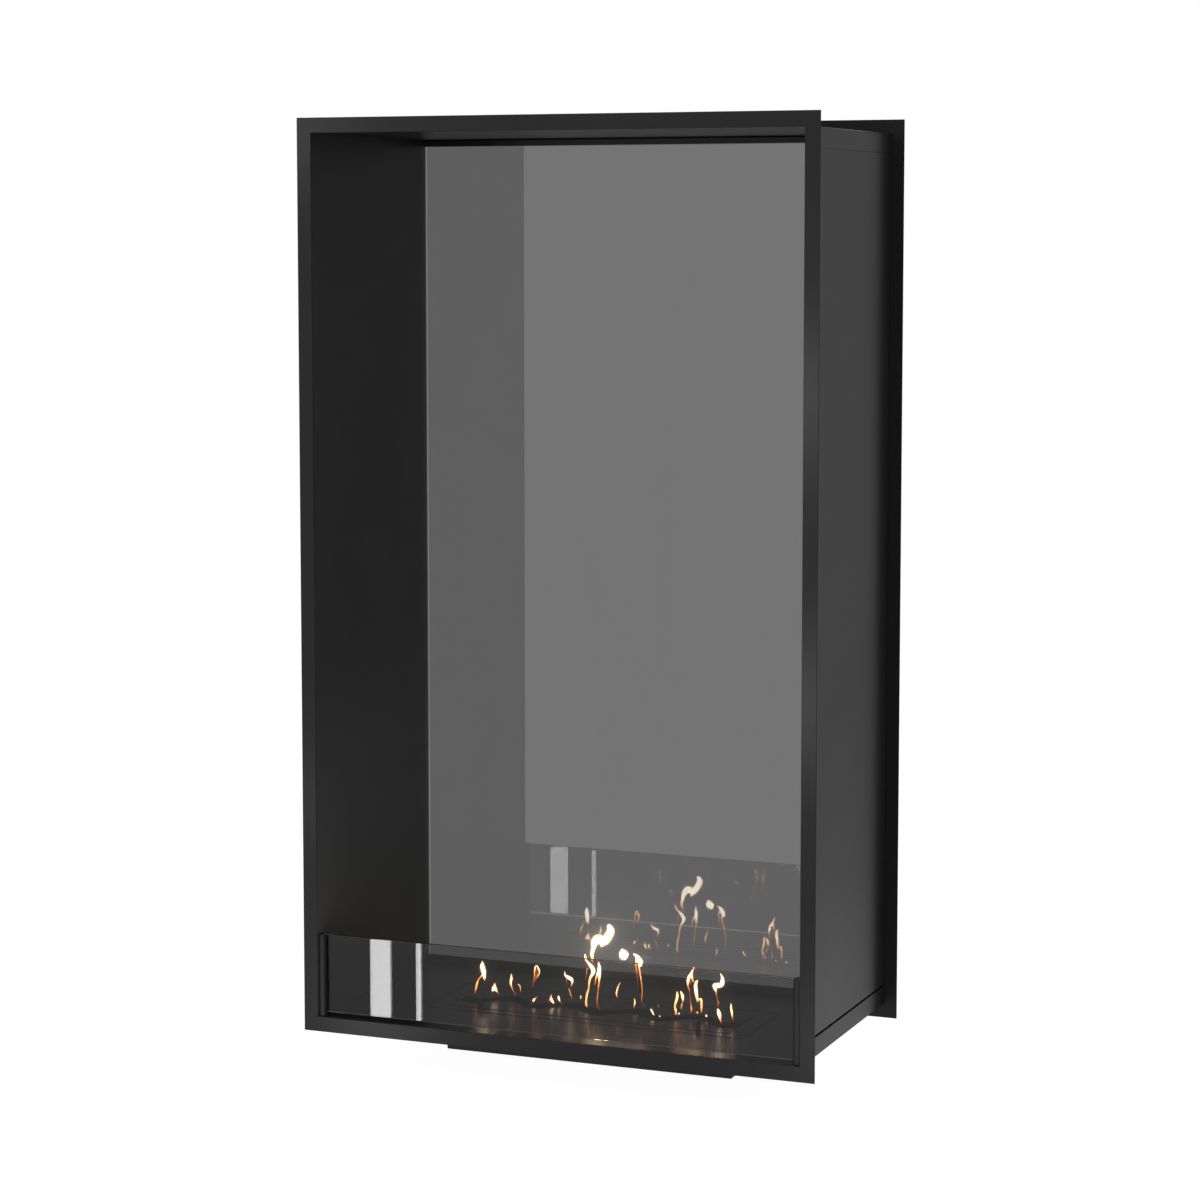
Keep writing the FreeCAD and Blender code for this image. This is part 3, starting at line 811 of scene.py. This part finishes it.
fire = {
    "skin": 0.55 * mm,       # voxel of the skin that joins the strands of a tongue
    "smoothing": (0.5, 4),   # how strongly that skin is smoothed, and how many times
    "core": 0.40,            # radius of the white core, as a share of the thickness
    "veil": 0.62,            # radius of the coloured veil round it
    "flatness": 0.75,        # how deep a tongue is against its width
    "thinnest": 0.4 * mm,
    "sides": 10,
    "rings": 5,              # rings between two points of a strand
    "wander": 1.2 * mm,      # how far a strand sways off the middle of the slot
    "swaySeed": 7.3,         # sets the sway of one strand apart from the next
    "swayTurns": 0.045,      # how fast it sways to and fro as it rises
    "fullSway": 20,          # height in mm where it sways that far
    "mostSway": 2.5,         # and how many times that at most
    "hotAt": 5.4 * mm,       # thickness from which a tongue is white hot
    "cooling": 1.3,          # how fast it cools as it thins
    "rise": 0.26,            # how much hotter a strand burns at its tip than at its foot
    "nearSpots": 3,          # how many points of the strands the heat of a place comes from
    "flicker": 0.08,
    "flickerScale": 180.0,
    "sparkHalf": 0.6,        # how far a spark leans along the slot each way, in mm
    "sparkEnds": 0.6,        # how thick its ends are, in mm
    "sparkFoot": 0.6,        # how far it hangs down, against its thickness
    "sparkSeed": 40,
}

flameLayers = {
    # From the inside out: how bright, how much it hides, and its colour from the coolest to the hottest
    "flameCore": dict(brightness=17.0, cover=1.0, colours=[
        (0.0, (0.034, 0.0050, 0.0007)),
        (0.14, (0.10, 0.018, 0.0026)),
        (0.35, (0.32, 0.115, 0.024)),
        (0.65, (0.54, 0.33, 0.14)),
        (1.0, (0.76, 0.66, 0.52)),
    ]),
    "flameVeil": dict(brightness=1.5, cover=0.34, colours=[
        (0.0, (0.26, 0.042, 0.006)),
        (0.14, (0.48, 0.10, 0.016)),
        (0.4, (0.74, 0.24, 0.05)),
        (0.75, (1.0, 0.44, 0.12)),
        (1.0, (1.0, 0.60, 0.26)),
    ]),
}


def curveThrough(points, steps):
    # Smooth line through the points, with the thickness carried along as a fourth number
    ends = [points[0] * 2 - points[1]] + points + [points[-1] * 2 - points[-2]]
    line = []
    for a, b, c, d in zip(ends, ends[1:], ends[2:], ends[3:]):
        for i in range(steps):
            t = i / steps
            line.append(0.5 * (2 * b + (c - a) * t + (2 * a - 5 * b + 4 * c - d) * t ** 2
                               + (3 * b - a - 3 * c + d) * t ** 3))
    line.append(points[-1])
    return line


def strandLine(strand, seed, foot):
    # The strand sways a little to and fro across the slot as it rises
    points = []
    for along, height, thick in strand:
        where = Vector((seed * fire["swaySeed"], height * fire["swayTurns"], 0.0))
        sway = noise.noise(where) * fire["wander"] * min(height / fire["fullSway"], fire["mostSway"])
        points.append(Vector((along * mm, foot + sway, plateTop + height * mm, thick * mm)))
    return curveThrough(points, fire["rings"])


def tubeMesh(mesh, line, share):
    # Closed tube round one strand
    rings = []
    across = Vector((0, 1, 0))
    for i, spot in enumerate(line):
        ahead = (line[min(i + 1, len(line) - 1)] - line[max(i - 1, 0)]).xyz.normalized()
        side = ahead.cross(across).normalized()
        radius = max(spot.w, fire["thinnest"]) * share
        ring = []
        for k in range(fire["sides"]):
            turn = 2 * math.pi * k / fire["sides"]
            out = side * math.cos(turn) * radius + across * math.sin(turn) * radius * fire["flatness"]
            ring.append(mesh.verts.new(spot.xyz + out))
        rings.append(ring)
    closeRings(mesh, rings)


def joinedSkin(name, lines, share):
    # The strands of one tongue under one smooth skin
    mesh = bmesh.new()
    for line in lines:
        tubeMesh(mesh, line, share)
    piece = linkObject(name, meshData(name, mesh))
    skin = piece.modifiers.new("skin", "REMESH")
    skin.mode, skin.voxel_size = "VOXEL", fire["skin"]
    smooth = piece.modifiers.new("smooth", "SMOOTH")
    smooth.factor, smooth.iterations = fire["smoothing"]
    made = bpy.data.meshes.new_from_object(piece.evaluated_get(bpy.context.evaluated_depsgraph_get()))
    bpy.data.objects.remove(piece)
    made.name = name
    return made


def markHeat(data, lines, warmths):
    # Thick parts and tips of a tongue burn white, and thin parts and feet orange
    spots = []
    for line, warm in zip(lines, warmths):
        for i, spot in enumerate(line):
            higher = 0.5 - i / (len(line) - 1)
            hot = warm * (spot.w / fire["hotAt"]) ** fire["cooling"] + fire["rise"] * higher
            spots.append((spot.xyz, min(1.0, max(0.0, hot))))
    tree = kdtree.KDTree(len(spots))
    for i, (place, _) in enumerate(spots):
        tree.insert(place, i)
    tree.balance()
    heat = data.attributes.new("burnHeat", "FLOAT", "POINT")
    for vertex in data.vertices:
        near = tree.find_n(vertex.co, fire["nearSpots"])
        heat.data[vertex.index].value = sum(spots[i][1] for _, i, _ in near) / len(near)


def makeFlame(name, strands, seed, warmths=None):
    foot = slotLine(strands[-1][-1][0] * mm)
    lines = [strandLine(strand, seed + i, foot) for i, strand in enumerate(strands)]
    whole = bmesh.new()
    for layer, share in enumerate((fire["core"], fire["veil"])):
        skin = joinedSkin(name, lines, share)
        start = len(whole.faces)
        whole.from_mesh(skin)
        whole.faces.ensure_lookup_table()
        for face in whole.faces[start:]:
            face.material_index = layer
            face.smooth = True
        bpy.data.meshes.remove(skin)
    data = meshData(name, whole)
    markHeat(data, lines, warmths or [1.0] * len(lines))
    piece = linkObject(name, data)
    for layerName in flameLayers:
        data.materials.append(finishes[layerName])
    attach(piece, "burner")


def makeFlameLight(name, look):
    # Glow whose colour follows the heat marked on the mesh
    tree = newMaterial(name)
    heat = addNode(tree, "ShaderNodeAttribute", {"attribute_name": "burnHeat"}).outputs["Fac"]
    flicker = noiseOver(tree, objectSpot(tree), fire["flickerScale"], 2.0)
    flicker = stretch(tree, flicker, 0.3, 0.7, -fire["flicker"], fire["flicker"])
    heat = mathNode(tree, "ADD", heat, flicker, clamp=True)
    finishWith(tree, BaseColor=(0.0, 0.0, 0.0), Roughness=1.0, SpecularIORLevel=0.0, Alpha=look["cover"],
               EmissionColor=colourRamp(tree, heat, look["colours"]), EmissionStrength=look["brightness"])


def lightTheFire():
    for name, look in flameLayers.items():
        makeFlameLight(name, look)
    for i, (name, strands) in enumerate(flames.items()):
        makeFlame(name, strands, i, warmth.get(name))
    for i, (along, height, thick, warm) in enumerate(sparks):
        strand = [
            (along - fire["sparkHalf"], height + thick, fire["sparkEnds"]),
            (along, height, thick),
            (along + fire["sparkHalf"], height - thick * fire["sparkFoot"], fire["sparkEnds"]),
        ]
        makeFlame(f"spark_{i + 1:02d}", [strand], fire["sparkSeed"] + i, [warm])
    print("flames lit:", len(flames), "and sparks:", len(sparks))


# Ceramic wool in the tank and the mat under it

wool = {
    "cell": 4.0 * mm,
    "mostCells": 90,
    "lump": 1.6 * mm,       # how uneven the wool's top is
    "lumpScale": 90,
    "crown": 1.2 * mm,      # how far the edges fall off
    "rim": (24, 12),        # how sharply they do, at the ends and at the sides
}


def makeWool(name, node, seed):
    # A cut block of blanket: flat below, with a lumpy top and softened sides, inside its solid's box
    low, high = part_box(node)
    size = high - low
    mesh = bmesh.new()
    bmesh.ops.create_cube(mesh, size=1.0)
    for axis in range(3):
        along = [e for e in mesh.edges if abs(e.verts[0].co[axis] - e.verts[1].co[axis]) > 0.9]
        cells = min(max(4, round(size[axis] / wool["cell"])), wool["mostCells"])
        bmesh.ops.subdivide_edges(mesh, edges=along, cuts=cells - 1, use_grid_fill=True)
    middle = (low + high) / 2
    for vertex in mesh.verts:
        share = vertex.co * 2
        spot = Vector((vertex.co.x * size.x, vertex.co.y * size.y, vertex.co.z * size.z))
        lump = noise.fractal(spot * wool["lumpScale"] + Vector((seed, 0, 0)), 0.8, 2.0, 4) * wool["lump"]
        rim = max(abs(share.x) ** wool["rim"][0], abs(share.y) ** wool["rim"][1])
        spot.z -= max(0.0, share.z) * (wool["crown"] * rim + abs(lump))
        pull = abs(lump) * 0.5 * (1 - abs(share.z) ** 4)
        spot.x -= math.copysign(pull, share.x) if abs(share.x) > 0.999 else 0.0
        spot.y -= math.copysign(pull, share.y) if abs(share.y) > 0.999 else 0.0
        vertex.co = middle + spot
    piece = placeMesh(name, mesh, "fibre", "burner")
    piece.data.shade_smooth()
    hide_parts(node)


# Black strip in the seam between the floor tray and each side skin: painted shade of the gap there

seamShade = {
    "height": 3.4 * mm,
    "depth": 0.5 * mm,
    "sunk": 0.05 * mm,      # how far it bites into the skin
    "steps": 60,            # rings along it
    "sides": 6,             # flats over its crown
    "waver": 0.12,          # how uneven the strip is along its length
    "waverTurns": 60,
}


def makeSeamShade(name, skin):
    low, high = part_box(skin)
    outward = 1 if low.x + high.x > 0 else -1
    face = high.x if outward > 0 else low.x
    seamHeight = (low.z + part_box("bottom_tray")[1].z) / 2
    mesh = bmesh.new()
    rings = []
    for i in range(seamShade["steps"] + 1):
        along = low.y + (high.y - low.y) * i / seamShade["steps"]
        full = 1 + seamShade["waver"] * noise.noise(Vector((along * seamShade["waverTurns"], outward * 3.0, 0.0)))
        ring = []
        for k in range(seamShade["sides"] + 1):
            turn = math.pi * (k / seamShade["sides"] - 0.5)
            out = seamShade["depth"] * math.cos(turn) * full - seamShade["sunk"]
            up = seamShade["height"] / 2 * math.sin(turn) * full
            ring.append(mesh.verts.new((face + outward * out, along, seamHeight + up)))
        rings.append(ring)
    closeRings(mesh, rings)
    # Dead black strip standing in for the seam's shade
    piece = placeMesh(name, mesh, "shade_black", "shell")


# Studio: lit white table, white page behind, dim room, softboxes, small lamps and the camera

studio = {
    "page": 1.0,              # white seen behind the object and through its panes
    # brightness of the room in reflections, from straight down to straight up
    "room": ((0.0, 0.30), (0.45, 0.29), (0.55, 0.31), (1.0, 0.50)),
}


def makeSurroundings():
    world = bpy.data.worlds.new("studioRoom")
    world.use_nodes = True
    scene.world = world
    tree = world.node_tree
    tree.nodes.clear()
    heading = splitAxes(tree, addNode(tree, "ShaderNodeTexCoord").outputs["Generated"])
    greys = [(place, (grey, grey, grey)) for place, grey in studio["room"]]
    walls = colourRamp(tree, stretch(tree, heading["Z"], -1.0, 1.0), greys)
    room = addNode(tree, "ShaderNodeBackground", Color=walls, Strength=1.0)
    page = addNode(tree, "ShaderNodeBackground", Color=(1.0, 1.0, 1.0), Strength=studio["page"])
    path = addNode(tree, "ShaderNodeLightPath").outputs
    straight = mathNode(tree, "LESS_THAN", path["Glossy Depth"], 0.5)
    backwards = mathNode(tree, "GREATER_THAN", heading["Y"], 0.0)
    through = mathNode(tree, "MULTIPLY", path["Is Transmission Ray"],
                       mathNode(tree, "MAXIMUM", straight, backwards))
    seen = mathNode(tree, "MAXIMUM", path["Is Camera Ray"], through)
    both = addNode(tree, "ShaderNodeMixShader", Fac=seen)
    tree.links.new(room.outputs[0], both.inputs[1])
    tree.links.new(page.outputs[0], both.inputs[2])
    end = tree.nodes.new("ShaderNodeOutputWorld")
    tree.links.new(both.outputs[0], end.inputs["Surface"])


tableLook = {
    "size": 12.0,
    "squares": 24,
    "below": 0.2 * mm,        # how far under the object it lies
    "glow": 0.98,
    "colour": (0.10, 0.10, 0.10),
    "bright": (1.0, 1.0, 1.0),
    "cloudy": (0.99, 0.99, 0.99),
    "rough": (0.7, 0.8),
}


def makeTable():
    # Frosted white plate lit from below, with the faint cloudiness of acrylic
    mesh = bmesh.new()
    bmesh.ops.create_grid(mesh, x_segments=tableLook["squares"], y_segments=tableLook["squares"],
                          size=tableLook["size"] / 2)
    for vertex in mesh.verts:
        vertex.co.z = cadLow.z - tableLook["below"]
    table = linkObject("studio_table", meshData("studio_table", mesh))
    tree = newMaterial("frostedTable")
    cloud = useGroup(tree, coatGrain, PatchScale=2.0)["Patch"]
    shine = mixColour(tree, cloud, tableLook["bright"], tableLook["cloudy"])
    rough = stretch(tree, cloud, 0.0, 1.0, *tableLook["rough"])
    finishWith(tree, BaseColor=tableLook["colour"], Roughness=rough, SpecularIORLevel=0.2,
               EmissionColor=shine, EmissionStrength=tableLook["glow"])
    table.data.materials.append(finishes["frostedTable"])
    table.visible_glossy = False
    table.visible_transmission = False
    table.visible_shadow = False


frontParts = ("front_frame", "front_frame_lips", "left_glass_holder", "right_glass_holder")

lamps = {
    # Flat lamps, each facing the middle of the object: middle, width, height, glow
    "softbox_front": dict(middle=(-4.80, -12.00, -0.30), width=2.85, height=5.00, glow=0.58, turn=0.0),
    "softbox_rear": dict(middle=(-1.20, 3.00, 0.60), width=1.60, height=2.40, glow=0.90),
    "softbox_low": dict(middle=(2.35, 6.80, -1.95), width=2.40, height=1.00, glow=0.38),
    "softbox_top": dict(middle=(0.0, -0.001, 3.20), width=2.40, height=2.40, glow=1.0, overhead=True),
    # Small soft lamps for the slow highlights down the front frame, which is all that they light
    "bulb_right_high": dict(middle=(0.201, -0.613, 0.872), width=0.06, height=0.13, glow=7.5,
                            lights=frontParts),
    "bulb_right_low": dict(middle=(0.201, -0.613, 0.448), width=0.06, height=0.13, glow=7.0,
                           lights=frontParts),
    "bulb_right_foot": dict(middle=(0.260, -0.613, -0.019), width=0.06, height=0.06, glow=10.0,
                            lights=frontParts),
    "bulb_left_low": dict(middle=(-0.572, -0.613, 0.270), width=0.05, height=0.06, glow=6.0,
                          lights=frontParts),
    "bulb_left_high": dict(middle=(-0.572, -0.613, 1.235), width=0.05, height=0.09, glow=7.5,
                           lights=frontParts),
    # Thin upright lamps that show as two pale bars in the low glass and, past it, in the rear one
    "strip_wide": dict(middle=(-0.440, -0.560, -0.008), width=0.030, height=0.183, glow=6.6,
                       lights=("low_glass", *frontParts), ghost=True),
    "strip_thin": dict(middle=(-0.374, -0.550, -0.008), width=0.007, height=0.183, glow=6.6,
                       lights=("low_glass", *frontParts), ghost=True),
}


def makeLamp(name, look):
    light = bpy.data.lights.new(name, "AREA")
    light.shape = "RECTANGLE"
    light.size, light.size_y = look["width"], look["height"]
    light.energy = look["glow"] * math.pi * light.size * light.size_y
    lamp = linkObject(name, light)
    lamp.location = look["middle"]
    x, y, _ = look["middle"]
    tip = 0.0 if look.get("overhead") else math.radians(90)
    lamp.rotation_euler = (tip, 0.0, look.get("turn", math.atan2(x, -y)))
    lamp.visible_camera = False
    lamp.visible_transmission = look.get("ghost", False)
    if "lights" in look:
        lit = bpy.data.collections.new(f"lit_by_{name}")
        for node in look["lights"]:
            lit.objects.link(nodes[node])
        lamp.light_linking.receiver_collection = lit


view = {
    "lens": 94.22,                      # mm
    "film": 36.0,                       # mm, width of its frame
    "place": (1.5446, -3.8130, 1.0945),
    "turn": 22.105,                     # degrees towards the object's right side
    "tilt": 5.402,                      # degrees down
    "shiftUp": -0.06,
    "farthest": 40.0,
}


def makeCamera():
    data = bpy.data.cameras.new("photoCamera")
    data.lens, data.sensor_width = view["lens"], view["film"]
    data.shift_y = view["shiftUp"]
    data.clip_end = view["farthest"]
    camera = linkObject("photoCamera", data)
    camera.location = view["place"]
    camera.rotation_euler = (math.radians(90 - view["tilt"]), 0.0, math.radians(view["turn"]))
    scene.camera = camera


lensGlow = {"Threshold": 1.4, "Clamp": True, "Maximum": 8.0, "Strength": 0.30, "Size": 0.35}


def makeLensGlow():
    # Soft bloom of the lens round the brightest flames
    scene.use_nodes = True
    tree = scene.node_tree
    tree.nodes.clear()
    layers = tree.nodes.new("CompositorNodeRLayers")
    bloom = tree.nodes.new("CompositorNodeGlare")
    bloom.glare_type = "BLOOM"
    for socketName, value in lensGlow.items():
        bloom.inputs[socketName].default_value = value
    end = tree.nodes.new("CompositorNodeComposite")
    tree.links.new(layers.outputs["Image"], bloom.inputs["Image"])
    tree.links.new(bloom.outputs["Image"], end.inputs["Image"])


makeCamera()
makeLensGlow()
makeSurroundings()
makeTable()
for lampName, lampLook in lamps.items():
    makeLamp(lampName, lampLook)
scene.view_settings.view_transform = "Standard"
print("studio ready")

dressNodes()
makeWool("fibre_fill", "ceramic_fibre", 3.0)
makeWool("insulation_blanket", "insulation_mat", 11.0)
makeSeamShade("left_tray_seam_shade", "left_side_panel")
makeSeamShade("right_tray_seam_shade", "right_side_panel")
makeSootStrip("soot_rear_lip", 1, "burner")
makeSootStrip("soot_front_lip", -1, "damper")
lightTheFire()
print("pieces made")
